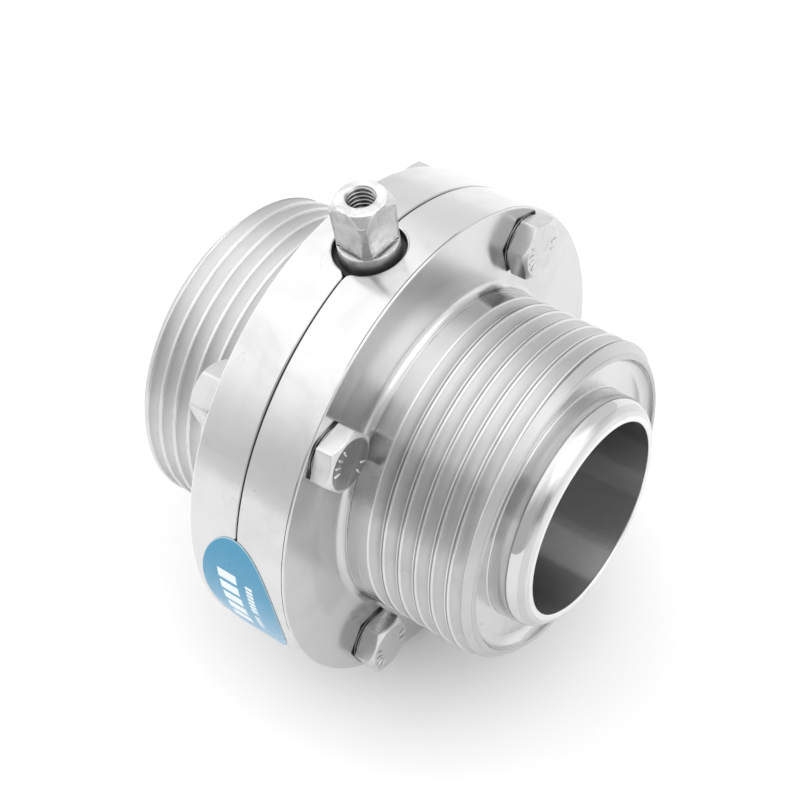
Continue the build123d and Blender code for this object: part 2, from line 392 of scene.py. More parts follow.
def newMaterial(name):
    material = bpy.data.materials.new(name)
    material.use_nodes = True
    tree = material.node_tree
    point = tree.nodes.new("ShaderNodeTexCoord").outputs["Object"]
    return material, tree, tree.nodes["Principled BSDF"], point


def zone(along, away, soft, tone, shine=None, **more):
    # A part of a steel surface with its own look, between two places along an axis and two distances
    # from it, in millimetres with soft ends. tone multiplies the grey, and in most zones it paints a
    # highlight, shade or a reflection; shine is its roughness. side: only where x has that sign. arc: a
    # band of painted reflection between two angles about the pipe axis, in degrees from +Z towards -Y.
    # patchy: it comes and goes with a noise of that size. level: the share to which it shades as the
    # plain cylinder round the pipe axis.
    return {"along": along, "away": away, "soft": soft, "tone": tone, "shine": shine, **more}


# The bands of an arc are painted reflections, which fade over this many degrees.
reflectionBandSoft = 8.0  # degrees in which a streak fades
patchLevels = (0.40, 0.56)  # levels of the noise between which a patch sets in
mostNoise = (0.3, 0.7)  # levels between which most of a noise lies

# tone: grey of the metal, shine: roughness, clouds: how much stains darken, lines: depth of tool
# marks in micrometres, width: their spacing, pits and hairlines: how strongly they show, brushed:
# how much the light spreads across the turning marks about the pipe axis.
# Zones stand under their axis. Under "thread", the place is counted from the nearest crest.
flangeLook = {
    "tone": 0.64, "shine": 0.17, "cloudShine": 0.08, "clouds": 0.10, "cloudSize": 17.0,
    "lines": 0.12, "width": 0.16, "pits": 0.6, "hairlines": 0.3, "brushed": 0.8,
    "zones": {"X": (
        # Grooves of the thread, and the bevel at its end
        # The grooves are painted darker on the front half and lighter on the rear, as light and shade.
        zone((12.0, 33.4), (27.2, 28.86), 0.05, 0.85, 0.46, side=1, level=0.25),
        zone((12.0, 33.4), (27.2, 28.86), 0.05, 1.06, 0.54, side=-1, level=0.7),
        zone((33.3, 34.9), (27.2, 28.95), 0.06, 0.84, 0.40),
        # A band of painted darker reflection on the front thread.
        zone((11.5, 32.0), (27.2, 29.3), 1.5, 0.88, side=1, arc=(40.0, 60.0)),
        # Neck and the curve at its foot
        # A painted highlight line and a patchy painted dark line where the curve meets the neck, and the
        # curve painted darker to damp its highlight.
        zone((11.10, 11.24), (29.0, 29.4), 0.03, 1.35, 0.3),
        zone((11.28, 11.38), (29.0, 29.4), 0.03, 0.30, 0.3, patchy=18.0),
        zone((10.5, 11.08), (28.9, 29.35), 0.12, 0.87),
        # Bands of painted darker reflection on the front face beside the neck.
        zone((9.6, 11.2), (29.0, 38.0), 1.5, 0.80, side=1, arc=(29.0, 32.0)),
        zone((9.0, 12.3), (29.0, 35.0), 2.5, 0.89, side=1, arc=(60.0, 100.0)),
        # Bore, with bands of painted reflection along it, light and dark
        zone((4.0, 39.3), (0.0, 18.2), 0.1, 1.0, 0.27),
        zone((4.0, 39.3), (0.0, 17.7), 0.1, 1.40, arc=(181.0, 195.0)),
        zone((4.0, 39.3), (0.0, 17.7), 0.1, 0.76, arc=(208.0, 229.0)),
        zone((4.0, 39.3), (0.0, 17.7), 0.1, 0.82, arc=(252.0, 290.0)),
        # Nose, its lip and the end face
        # Bands of painted dark reflection on the nose and on its lip.
        zone((33.5, 36.3), (20.3, 21.2), 0.2, 0.74, side=1, arc=(32.0, 42.0)),
        zone((38.5, 39.0), (18.8, 20.0), 0.2, 0.70, side=1, arc=(33.0, 39.0)),
        zone((35.2, 38.4), (18.6, 21.2), 0.1, 1.0, 0.10),
        # The lip painted darker to damp its highlight, a painted highlight along its edge at the bore, and
        # the inner edge of the end face painted darker to damp its highlight.
        zone((38.5, 39.2), (18.3, 20.3), 0.2, 0.86, 0.22),
        zone((39.6, 39.8), (17.6, 18.5), 0.06, 1.3, 0.35),
        zone((34.85, 35.1), (26.3, 27.6), 0.05, 0.82, 0.40),
        # Edges of the rim, the seam and the notch where it meets the stem hole
        # A painted highlight along the rear edge of the rim.
        zone((9.6, 9.86), (43.0, 43.4), 0.03, 1.4, 0.4, side=-1),
        # Painted shade and dirt in the seam, painted shade in the notch, and painted shade on the rear
        # half's seam bevel.
        zone((-0.1, 0.09), (40.0, 44.0), 0.04, 0.06, 0.6),
        zone((-0.1, 1.0), (40.0, 42.85), 0.05, 0.06, 0.6),
        zone((0.09, 0.24), (42.5, 43.3), 0.04, 0.72, 0.3, side=-1),
        zone((9.42, 9.53), (43.2, 43.5), 0.02, 0.10, 0.5, side=1, patchy=16.0),
        zone((9.82, 9.9), (30.6, 43.0), 0.02, 0.97, 0.20),
    ), "thread": (
        # A painted highlight band beside each crest, and a painted dark line along the crest.
        zone((-0.66, -0.20), (28.2, 29.2), 0.20, 1.50, 0.50, side=1),
        zone((-0.18, 0.12), (28.2, 29.2), 0.05, 0.40, 0.3, side=1),
    ), "Z": (
        # Wall of the stem hole painted near black as shade, and a patchy painted dark line round its mouth
        zone((30.2, 42.9), (5.8, 6.05), 0.06, 0.10, 0.5),
        zone((42.3, 43.4), (6.26, 6.34), 0.03, 0.45, 0.3, patchy=5.0),
    )},
}
stemLook = {
    "tone": 0.64, "shine": 0.24, "cloudShine": 0.14, "clouds": 0.26, "cloudSize": 2.4,
    "lines": 0.4, "width": 0.25, "pits": 0.9, "hairlines": 0.5, "brushed": 0.0,
    "zones": {"Z": (
        # The top ring painted lighter as a highlight, and the tapped hole painted darker as shade.
        zone((53.5, 54.0), (2.8, 5.4), 0.04, 1.12, 0.34),
        zone((40.0, 53.5), (0.0, 2.8), 0.04, 0.66, 0.30),
        zone((45.8, 51.5), (4.8, 5.3), 0.10, 0.76, 0.35, patchy=2.0),
        zone((45.4, 46.0), (3.3, 4.9), 0.30, 0.78, 0.36, patchy=0.8),
        # The undercut at the foot of the flats painted near black as shade, and a painted highlight line
        # along the ledge.
        zone((45.07, 45.38), (3.3, 4.86), 0.10, 0.05, 0.5),
        zone((44.96, 45.03), (3.7, 4.92), 0.02, 1.3, 0.4),
        # The collar, rougher, and painted darker as shade downwards into the hole.
        zone((0.0, 44.9), (4.8, 5.2), 0.10, 1.0, 0.42),
        zone((0.0, 41.9), (4.8, 5.2), 1.50, 0.55, 0.50),
    )},
}
discLook = {
    "tone": 0.64, "shine": 0.12, "cloudShine": 0.06, "clouds": 0.08, "cloudSize": 11.0,
    "lines": 0.10, "width": 0.2, "pits": 0.3, "hairlines": 0.3, "brushed": 0.0, "zones": {},
}
boltLook = {
    "tone": 0.62, "shine": 0.26, "cloudShine": 0.06, "clouds": 0.10, "cloudSize": 2.8,
    "lines": 0.15, "width": 0.3, "pits": 0.5, "hairlines": 0.4, "brushed": 0.0,
    "zones": {"X": (
        # Painted shade under the head, a painted dark line above its washer face, and its end face
        zone((9.7, 9.99), (0.0, 60.0), 0.03, 0.12, 0.6),
        zone((10.14, 10.28), (0.0, 60.0), 0.03, 0.16, 0.6),
        zone((13.82, 13.9), (0.0, 60.0), 0.02, 0.92, 0.14),
    )},
}


def makeSteel(name, look):
    # Bare steel: a grey mirror, dulled by stains and tool marks, with pits and hairlines, and with
    # zones whose tone paints highlights, shade and reflections into the grey.
    look = SimpleNamespace(**look)
    material, tree, surface, point = newMaterial(name)
    lines = useGroup(turnedLines, {"Point": point, "Line Width": look.width})
    marks = useGroup(handlingMarks, {"Point": point, "Cloud Size": look.cloudSize})
    crest = useGroup(threadPlace, {"Point": point})
    stain = ramp(marks["Clouds"], *wear["stainLevels"])
    hairlines = times(marks["Hairlines"], wear["hairTone"] * look.hairlines)
    dim = plus(times(stain, look.clouds), times(marks["Pits"], wear["pitTone"] * look.pits), hairlines)
    tone = times(calc("SUBTRACT", 1.0, dim), look.tone)
    broad = ramp(lines["Broad"], *mostNoise, 0.0, wear["lineShine"])
    dull = plus(times(stain, look.cloudShine), broad, hairlines, look.shine)
    parts = split(point)
    degrees = calc("DEGREES", calc("ARCTAN2", times(parts["Y"], -1.0), parts["Z"]))
    degrees = times(calc("FRACT", calc("DIVIDE", degrees, 360.0)), 360.0)
    level = 0.0
    for axis, zones in look.zones.items():
        onThread = axis == "thread"
        straight = "X" if onThread else axis
        away = calc("DIVIDE", distance(*(parts[letter] for letter in "XYZ" if letter != straight)), mm)
        along = crest["From Crest"] if onThread else calc("DIVIDE", calc("ABSOLUTE", parts[axis]), mm)
        for one in zones:
            mask = times(band(along, one["along"], one["soft"]), band(away, one["away"], one["soft"]))
            if onThread:
                mask = times(mask, crest["Cut"])
            if "side" in one:
                mask = times(mask, calc("GREATER_THAN", times(parts["X"], one["side"]), 0.0))
            if "arc" in one:
                mask = times(mask, band(degrees, one["arc"], reflectionBandSoft))
            if "patchy" in one:
                mask = times(mask, ramp(noise(point, 1 / (one["patchy"] * mm), 3.0, 0.6), *patchLevels))
            # A zone's tone paints its highlight, shade or reflection into the grey.
            tone = times(tone, ramp(mask, 0.0, 1.0, 1.0, one["tone"]))
            if one["shine"] is not None:
                dull = plus(dull, times(calc("SUBTRACT", one["shine"], dull), mask))
            if "level" in one:
                level = plus(times(mask, one["level"]), level)
    grey = addNode(tree, "ShaderNodeCombineColor", {0: tone, 1: tone, 2: times(tone, 1.005)}).outputs[0]
    height = calc("SUBTRACT", times(lines["Fine"], look.lines),
                  times(marks["Pits"], wear["pitDeep"] * look.pits))
    bump = addNode(tree, "ShaderNodeBump", {"Height": height, "Distance": 1e-6, "Strength": 1.0})
    if level:
        straight = addNode(tree, "ShaderNodeCombineXYZ", {0: 0.0, 1: parts["Y"], 2: parts["Z"]}).outputs[0]
        straight = addNode(tree, "ShaderNodeVectorMath", {0: straight}, operation="NORMALIZE").outputs[0]
        own = tree.nodes.new("ShaderNodeNewGeometry").outputs["Normal"]
        shaded = addNode(tree, "ShaderNodeMix", {0: level, 4: own, 5: straight}, data_type="VECTOR")
        fill(bump, {"Normal": shaded.outputs[1]})
    fill(surface, {"Base Color": grey, "Roughness": dull, "Metallic": 1.0, "Normal": bump.outputs[0]})
    if look.brushed:
        run = addNode(tree, "ShaderNodeTangent", direction_type="RADIAL", axis="X").outputs[0]
        fill(surface, {"Tangent": run, "Anisotropic": look.brushed, "Anisotropic Rotation": 0.25})
    return material


plastics = {
    "dark bush": {"colour": (0.018, 0.018, 0.02), "shine": 0.5, "grain": 0.18},
    "seat rubber": {"colour": (0.016, 0.016, 0.017), "shine": 0.46, "grain": 0.35},
}


def makePlastic(name):
    # Moulded plastic or rubber: one dark colour with a faint cloud, and a fine grain in gloss and relief.
    look = SimpleNamespace(**plastics[name])
    material, tree, surface, point = newMaterial(name)
    clouds = noise(point, 1 / (6.0 * mm), 3.0)
    grain = noise(point, 1 / (look.grain * mm), 2.0)
    bump = addNode(tree, "ShaderNodeBump", {"Height": grain, "Distance": 6e-6, "Strength": 0.6})
    fill(surface, {
        "Base Color": mixed(clouds, (*look.colour, 1), (*(1.8 * c for c in look.colour), 1)),
        "Roughness": ramp(grain, *mostNoise, look.shine - 0.08, look.shine + 0.12),
        "Normal": bump.outputs[0],
    })
    return material


flangeSteel = makeSteel("polished flange", flangeLook)
stemSteel = makeSteel("worn stem", stemLook)
discSteel = makeSteel("polished disc", discLook)
boltSteel = makeSteel("forged fastener", boltLook)
bushPlastic = makePlastic("dark bush")
seatRubber = makePlastic("seat rubber")
print("materials made")


# Body halves

bodyBox = nodeBox("front_body")[1]
half = {
    "rimR": bodyBox[2], "flangeX": 9.85, "rimEdge": 0.3, "seamBevel": 0.34, "seamDeep": 0.30,
    "notchWide": 0.75, "notchDeep": 1.8,
    "neckR": 29.1, "neckRoot": 1.4,
    "pitch": coil["pitch"], "grooveR": 1.223, "grooveDepth": 0.95, "crestEdge": 0.34,
    "threadFrom": coil["from"], "threadAngle": coil["angle"], "threadFade": 250.0,
    "endX": 35.05, "endBevel": 1.8, "endWidth": 0.8, "edgeRound": 0.14,
    "floorX": 33.1, "recessCorner": 1.8, "noseR": 20.8, "noseX": bodyBox[0],
    "bulgeLength": 3.65, "bulge": 0.72, "lipWidth": 0.9, "lipRound": 0.3, "boreR": 17.5,
    "seatLipX": 5.05, "seatLipR": 19.5, "seatKeyX": 7.05, "seatKeyR": 20.5, "seatOuterR": 23.05,
    "stemHoleR": 5.95, "stemHoleEdge": 0.3, "pocketR": 7.0, "pocketTop": 30.05, "pocketBottom": 33.05,
    "boltCircleR": 37.2, "boltHoleR": 3.3,
}
columns = 240  # of every turned surface
step = np.radians(360 / columns)
turn = step * np.arange(columns + 1)
topSpread, keySpread = 10, 14  # columns on each side of the stem that rays take up, at rim and groove
rayShare = np.array([0, 0.03, 0.07, 0.13, 0.3, 0.5, 0.75, 1])  # points along a ray


def threadPatch(s):
    # The thread is one strip wound round the neck. Across it lie a flat crest, a small round, the
    # round groove, a small round and a crest again. The groove's centre starts one groove radius above
    # the metal and sinks, so the groove fades in. Before that, a flat wedge makes up the first turn.
    # What stands out of the end bevel is cut back to its cone.
    top, small, large = s.neckR, s.crestEdge, s.grooveR
    first = s.threadFrom - s.pitch / 2
    last = s.endX - 2 * s.edgeRound
    count = columns + int(np.ceil((last - first) / s.pitch * columns))
    angle = np.radians(s.threadAngle) - 2 * np.pi + step * np.arange(count + 1)
    done = angle - np.radians(s.threadAngle)
    middle = s.threadFrom + s.pitch * done / (2 * np.pi)
    sunk = np.clip(done / np.radians(s.threadFade), 0, 1) * s.grooveDepth
    centre = top + large - sunk
    reach = np.arccos(np.clip((centre - top + small) / (large + small), -1, 1))
    mouth = (large + small) * np.sin(reach)
    edge = np.linspace(0, 1, 3)[:, None]
    bend = np.linspace(0, 1, 5)[:, None] * reach
    hollow = np.linspace(1, -1, 13)[:, None] * reach
    ones = np.ones_like(mouth)
    flatX = -s.pitch / 2 + edge * (s.pitch / 2 - mouth)
    roundX = -mouth + small * np.sin(bend)
    roundR = top - small + small * np.cos(bend)
    offset = np.concatenate([flatX, roundX[1:], -large * np.sin(hollow[1:]),
                             -roundX[-2::-1], -flatX[-2::-1]])
    r = np.concatenate([top * ones * np.ones((3, 1)), roundR[1:], centre - large * np.cos(hollow[1:]),
                        roundR[-2::-1], top * ones * np.ones((2, 1))])
    tilt = np.concatenate([0 * flatX, bend[1:], hollow[1:], -bend[-2::-1], 0 * flatX[:2]])
    share = 0.5 + offset / s.pitch
    before = first + share * (middle + s.pitch / 2 - first)
    x = np.where(done < 0, before, middle + offset)
    along, outward = np.sin(tilt), np.cos(tilt)
    cone = top - (x - (s.endX - s.endBevel))
    cut = r > cone
    r = np.where(cut, cone, r)
    along, outward = np.where(cut, 1.0, along), np.where(cut, 1.0, outward)
    beyond = x > last
    x = np.where(beyond, last, x)
    r = np.where(beyond, top - (last - (s.endX - s.endBevel)), r)
    lead = -along * s.pitch / (2 * np.pi) / r
    return gridPatch(around(x, r, angle), aroundNormals(along, outward, lead, angle))


def holedBand(radius, xFrom, xTo, hole, hollows, middle, spread, rows, outward, notch=0.0):
    # A stretch of cylinder wall round half a stem hole: straight rays run from the hole's edge, point
    # by point, to the edge of a rectangle of x and angle. At the seam the outermost rays bend away near
    # the hole and leave a notch. Also gives the place and the angle of the last ray.
    spread, inside = spread * step, 2 * spread - 1
    holeX, holeAngle = hole * np.cos(hollows), np.arcsin(hole * np.sin(hollows) / radius)
    up = np.linspace(0, 1, rows + 1)
    rise = up * (xTo - xFrom)
    frameX = np.concatenate([xFrom + rise, np.full(inside, xTo), xTo - rise])
    frameAngle = np.concatenate([np.full(rows + 1, -spread), -spread + step * np.arange(1, inside + 1),
                                 np.full(rows + 1, spread)])
    share = rayShare[:, None]
    x = holeX + share * (frameX - holeX)
    if notch:
        x[:, [0, -1]] = xFrom + notch * (1 - share) ** 12
    angle = holeAngle + share * (frameAngle - holeAngle)
    normals = aroundNormals(0, outward, 0, middle + angle)
    return gridPatch(around(x, radius, middle + angle), normals), x[:, -1], angle[:, -1]


def uprightPatch(radius, height, hollows, side, normals):
    # Rows of points about the stem axis, from radius and height arrays with one row each.
    x = radius * np.cos(hollows)
    y = -side * radius * np.sin(hollows)
    return gridPatch(np.stack(np.broadcast_arrays(x, y, height), -1), normals)


def bodyPatches(s):
    rimR, bevel, deep, key = s.rimR, s.seamBevel, s.seamDeep, s.seatOuterR
    edgeR = s.stemHoleR + s.stemHoleEdge
    inner = np.arccos((bevel + s.notchWide) / edgeR)
    hollows = np.concatenate([[-np.pi / 2], np.linspace(-inner, inner, 33), [np.pi / 2]])
    face = s.flangeX - s.rimEdge
    yield threadPatch(s)

    # Rounded front edge of the rim, and the neck up to the thread
    yield lathe(roundedProfile(
        [(face, rimR), (s.flangeX, rimR), (s.flangeX, rimR - s.rimEdge)], [s.rimEdge], 5), turn)
    yield lathe(roundedProfile(
        [(s.flangeX, s.neckR + s.neckRoot), (s.flangeX, s.neckR),
         (s.threadFrom - s.pitch / 2, s.neckR)], [s.neckRoot], 10), turn)

    # End face, recess, nose, bore and the flanks of the seat groove
    tip = s.endX - 2 * s.edgeRound
    recessR = s.neckR - s.endBevel - s.endWidth
    bulgeX, lipR, lip = s.noseX - s.bulgeLength, s.boreR + s.lipWidth, s.noseX
    yield lathe(roundedProfile(
        [(tip, s.neckR - s.endBevel + 2 * s.edgeRound), (s.endX, s.neckR - s.endBevel),
         (s.endX, recessR), (s.floorX, recessR), (s.floorX, s.noseR), (bulgeX, s.noseR)],
        [s.edgeRound, s.edgeRound, s.recessCorner, 0.25], 7), turn)
    yield lathe(bulgeProfile((bulgeX, s.noseR), (lip, lipR), s.bulge), turn)
    yield lathe(roundedProfile(
        [(lip, lipR), (lip, s.boreR), (s.seatLipX, s.boreR), (s.seatLipX, s.seatLipR),
         (s.seatKeyX, s.seatKeyR), (s.seatKeyX, key)], [s.lipRound, 0, 0, 0], 5), turn)

    # Rim and its seam bevel, plain and then round the stem hole
    plain = turn[topSpread:-topSpread]
    rows = np.linspace(bevel, face, 7)[:, None]
    yield gridPatch(around(rows, rimR, plain), aroundNormals(0, 1, 0, plain))
    ring, rayX, ray = holedBand(rimR, bevel, face, edgeR, hollows[1:-1], 0, topSpread, 6, 1, s.notchWide)
    yield ring
    innerR = rimR - deep - s.notchDeep * (1 - rayShare) ** 12
    atHole = np.arcsin(edgeR / innerR[0])
    innerRay = atHole + rayShare * (topSpread * step - atHole)
    seams = [(bevel, plain, rimR - deep, plain),
             (rayX, ray, innerR, innerRay), (rayX, -ray, innerR, -innerRay)]
    for outerX, outerAngle, r, innerAngle in seams:
        points = np.stack([around(0.0, r, innerAngle), around(outerX, rimR, outerAngle)])
        yield gridPatch(points, aroundNormals(r - rimR, outerX, 0, outerAngle)[None])

    # Seat groove, plain and then round the two bush pockets
    rows = np.linspace(0, s.seatKeyX, 4)[:, None]
    opposite = columns // 2
    rightSide, leftSide = turn[keySpread:opposite + 1 - keySpread], turn[opposite + keySpread:-keySpread]
    for plain in (rightSide, leftSide):
        yield gridPatch(around(rows, key, plain), aroundNormals(0, -1, 0, plain))
    for middle in (0, np.pi):
        ring, _, keyRay = holedBand(key, 0, s.seatKeyX, s.pocketR, hollows, middle, keySpread, 3, -1)
        yield ring

    # Stem hole with a rounded mouth, the ledge above the upper pocket, and both pockets
    wall = np.stack([-np.cos(hollows), np.sin(hollows), 0 * hollows], -1)
    mouthY = edgeR * np.sin(hollows)
    localR = np.where(edgeR * np.cos(hollows) < bevel / 2, innerR[0], rimR)
    mouthZ = np.sqrt(localR**2 - mouthY**2)
    sweep = np.linspace(0, np.pi / 2, 5)[:, None]
    radius = edgeR - s.stemHoleEdge * np.cos(sweep)
    height = mouthZ - s.stemHoleEdge * (1 - np.sin(sweep))
    up = np.array([0, 0, 1.0])
    normals = wall * np.cos(sweep)[..., None] + up * np.sin(sweep)[..., None]
    yield uprightPatch(radius, height, hollows, 1, normals)
    ledge = np.full_like(mouthZ, s.pocketTop)
    yield uprightPatch(s.stemHoleR, np.stack([height[0], ledge]), hollows, 1, wall)
    rings = np.array([[s.stemHoleR], [s.pocketR]])
    yield uprightPatch(rings, ledge, hollows, 1, -up)
    keyZ = np.sqrt(key**2 - (s.pocketR * np.sin(hollows))**2)
    yield uprightPatch(s.pocketR, np.stack([ledge, keyZ]), hollows, 1, wall)
    floor = np.full_like(keyZ, -s.pocketBottom)
    lowWall = wall * (1, -1, 1)
    yield uprightPatch(s.pocketR, np.stack([-keyZ, floor]), hollows, -1, lowWall)
    yield uprightPatch(np.array([[s.pocketR], [0.0]]), floor, hollows, -1, up)

    # Bolt holes
    ringTurn = np.linspace(0, 2 * np.pi, 49)
    holes = []
    for k in range(4):
        angle = np.pi / 4 + k * np.pi / 2
        y = s.boltCircleR * np.cos(angle) + s.boltHoleR * np.cos(ringTurn)
        z = s.boltCircleR * np.sin(angle) + s.boltHoleR * np.sin(ringTurn)
        holes.append(np.column_stack([y, z])[:-1])
        points = np.stack([np.column_stack([np.full_like(y, x), y, z]) for x in (0.0, s.flangeX)])
        yield gridPatch(points, np.column_stack([0 * y, -np.cos(ringTurn), -np.sin(ringTurn)]))

    # Front face of the flange, and the seam face with the outline of the hole and the pockets
    rims = [around(0, r, turn[:-1])[:, 1:] for r in (rimR - s.rimEdge, s.neckR + s.neckRoot)]
    yield flatPatch([*rims, *holes], s.flangeX, 1)
    mouth = np.column_stack([radius[::-1, 0], height[::-1, 0]])
    oneSide = np.concatenate([
        around(0, rimR - deep, turn[opposite:-topSpread])[:, 1:],
        around(0, innerR[::-1], -innerRay[::-1])[1:, 1:],
        mouth[1:],
        [(s.stemHoleR, s.pocketTop), (s.pocketR, s.pocketTop)],
        around(0, key, -keyRay)[:, 1:],
        around(0, key, -rightSide[1:])[:, 1:],
        around(0, key, np.pi + keyRay[::-1])[1:, 1:],
        [(s.pocketR, -s.pocketBottom), (0, -s.pocketBottom)],
    ])
    yield flatPatch([np.concatenate([oneSide, oneSide[-2:0:-1] * (-1, 1)]), *holes], 0, -1)


def bulgeProfile(start, end, bulge, chords=16):
    # An arc between two points of a profile that stands out by its bulge at the middle.
    start, end = np.array(start), np.array(end)
    chord = np.linalg.norm(end - start)
    radius = (chord**2 / 4 + bulge**2) / (2 * bulge)
    along = (end - start) / chord
    outward = np.array([-along[1], along[0]])
    centre = (start + end) / 2 - outward * (radius - bulge)
    reach = np.arcsin(chord / 2 / radius)
    angles = np.linspace(-reach, reach, chords + 1)[:, None]
    normals = along * np.sin(angles) + outward * np.cos(angles)
    points = centre + radius * normals
    points[0], points[-1] = start, end
    return points, normals


halfPatches = list(bodyPatches(SimpleNamespace(**half)))
halfTurn = np.diag([-1.0, -1.0, 1.0])
frontHalf = shell("front_half", halfPatches, flangeSteel)
rearHalf = shell("rear_half", [turned(patch, halfTurn) for patch in halfPatches], flangeSteel)
for piece, nodeName in ((frontHalf, "front_body"), (rearHalf, "rear_body")):
    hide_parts(nodeName)
    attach(piece, "body")


# Stem and disc

discBox = nodeBox("valve_disc")
stem = {
    "top": discBox[1][2], "bottom": discBox[0][2], "radius": 5.0, "squareFrom": 45.0, "turned": -5.0,
    "flatTop": 4.05, "flatFoot": 4.05, "flatHollow": 0.15, "cornerTop": 5.2, "cornerFoot": 4.95,
    "ringR": 4.12, "bevelHigh": 1.65, "ledgeCut": 0.32, "ledgeCutHigh": 0.5,
    "holeR": 2.1, "holeDepth": 12.0, "mouthR": 2.5, "threadPitch": 0.8, "threadDepth": 0.36,
    "threadTurns": 8, "holeAside": (-0.22, 0.22), "edge": 0.08, "topEdge": 0.10,
}
plate = {
    "radius": 17.0, "rimHalf": 1.5, "landR": 15.6, "hubHalf": 3.4, "hubR": 6.0, "ribR": 5.14, "blend": 1.2,
}


def squareRow(s, height):
    # Angles and radii of the square head at a height. Each side is a flat, hollow midway. Each corner
    # is what is left of a round bar that widens upwards. Columns stay on the edges between them.
    up = (height - s.squareFrom) / (s.top - s.squareFrom)
    flat = s.flatFoot + (s.flatTop - s.flatFoot) * up - 4 * s.flatHollow * up * (1 - up)
    corner = s.cornerFoot + (s.cornerTop - s.cornerFoot) * up
    reach = np.degrees(np.arccos(flat / corner))
    oneFlat = np.degrees(np.arctan(np.linspace(-1, 1, 15)[:-1] * np.tan(np.radians(reach))))
    side = np.concatenate([oneFlat, np.linspace(reach, 90 - reach, 7)[:-1]])
    angle = np.radians(np.concatenate([side + 90 * k for k in range(4)] + [side[:1] + 360]))
    return angle, np.minimum(corner, flat / np.maximum(abs(np.cos(angle)), abs(np.sin(angle))))


def stemGrid(s):
    # Rows of angle, radius and height, from the floor of the tapped hole up, over the top and down the
    # outside. The hole's thread is a ridge that climbs one pitch a turn. The top's edge is cut by a
    # cone, and each flat ends in a small undercut above a ledge.
    angle, square = squareRow(s, s.top)
    ones = np.ones_like(angle)
    rows = []

    def row(radius, height):
        rows.append((angle, radius * ones, height * ones))

    row(0, s.top - s.holeDepth)
    for depth in np.linspace(s.holeDepth, s.threadTurns * s.threadPitch, 3):
        row(s.holeR, s.top - depth)
    for depth in np.linspace(s.threadTurns * s.threadPitch, 0.03, s.threadTurns * 9):
        phase = (depth / s.threadPitch + angle / (2 * np.pi)) % 1
        ridge = np.clip(1.25 - abs(2 * phase - 1) * 2.2, 0, 1)
        fade = min(1, (s.threadTurns * s.threadPitch - depth) / s.threadPitch)
        row(np.maximum(s.holeR + s.threadDepth * ridge * fade, s.mouthR - depth), s.top - depth)
    row(s.mouthR + 0.04, s.top)
    holeRows = len(rows)
    outer = np.minimum(s.ringR, square)
    slope = s.bevelHigh / (s.cornerTop - s.ringR)
    edge = s.top - (square - outer) * slope
    near = np.minimum(square - outer, s.edge)
    row((s.mouthR + outer) / 2, s.top)
    row(outer - s.topEdge, s.top)
    row(outer + s.topEdge / 5, s.top - s.topEdge / 2)
    row(square - near, edge + near * slope)
    row(square, edge - s.edge)
    for height in np.linspace(s.top - s.bevelHigh - 0.2, s.squareFrom + s.ledgeCutHigh + 0.1, 12):
        angle, square = squareRow(s, height)
        row(square, height)
    angle, square = squareRow(s, s.squareFrom)
    row(square, s.squareFrom + s.ledgeCutHigh)
    cut = s.ledgeCut * np.clip((s.cornerFoot - square) / 0.3, 0, 1)
    row(square - cut, s.squareFrom + 0.2)
    row(square - cut, s.squareFrom + 0.02)
    near = np.minimum(s.radius - square, 0.1)
    row(square + 0.3 * near, s.squareFrom)
    row(s.radius - near, s.squareFrom)
    for drop in (0.1, 0.5, 6):
        row(s.radius, s.squareFrom - drop)
    for inward, rise in ((0, 0.5), (0, 0.3), (0.3, 0), (0.6, 0), (s.radius, 0)):
        row(s.radius - inward, s.bottom + rise)
    angle, radius, height = (np.array(column) for column in zip(*rows))
    angle = angle + np.radians(s.turned)
    points = np.stack([radius * np.cos(angle), radius * np.sin(angle), height], -1)
    points[:holeRows, :, :2] += s.holeAside
    return points


def plateGrid(p):
    # One face of the disc is the higher of a lens, which thins from hub to rim, and of a rib along the
    # stem, with a soft change between them. Both faces end where they meet the sphere of the rim.
    angle = np.linspace(0, 2 * np.pi, 217)

    def height(radius):
        lens = p.hubHalf - (p.hubHalf - p.rimHalf) * np.clip(
            (radius - p.hubR) / (p.landR - p.hubR), 0, 1)
        rib = np.sqrt(np.maximum(p.ribR**2 - (radius * np.sin(angle))**2, 0))
        gap = np.maximum(p.blend - abs(lens - rib), 0)
        return np.maximum(lens, rib) + gap**2 / (4 * p.blend)

    reach = np.full_like(angle, p.radius)
    for _ in range(40):
        reach = np.sqrt(p.radius**2 - height(reach)**2)
    share = np.concatenate([np.linspace(0, 0.97, 44), [0.99, 1.0]])[:, None]
    radius = share * reach
    faceHeight = height(radius)
    rimX = np.linspace(0.94, -0.94, 7)[:, None] * faceHeight[-1]
    radius = np.concatenate([radius, np.sqrt(p.radius**2 - rimX**2), radius[::-1]])
    x = np.concatenate([faceHeight, rimX, -faceHeight[::-1]])
    return np.stack([x, -radius * np.sin(angle), radius * np.cos(angle)], -1)


stemPiece = shell("stem", [formPatch(stemGrid(SimpleNamespace(**stem)))], stemSteel)
platePiece = shell("disc_plate", [formPatch(plateGrid(SimpleNamespace(**plate)))], discSteel)
for piece in (stemPiece, platePiece):
    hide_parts("valve_disc")
    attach(piece, "disc")


# Bolts and nuts

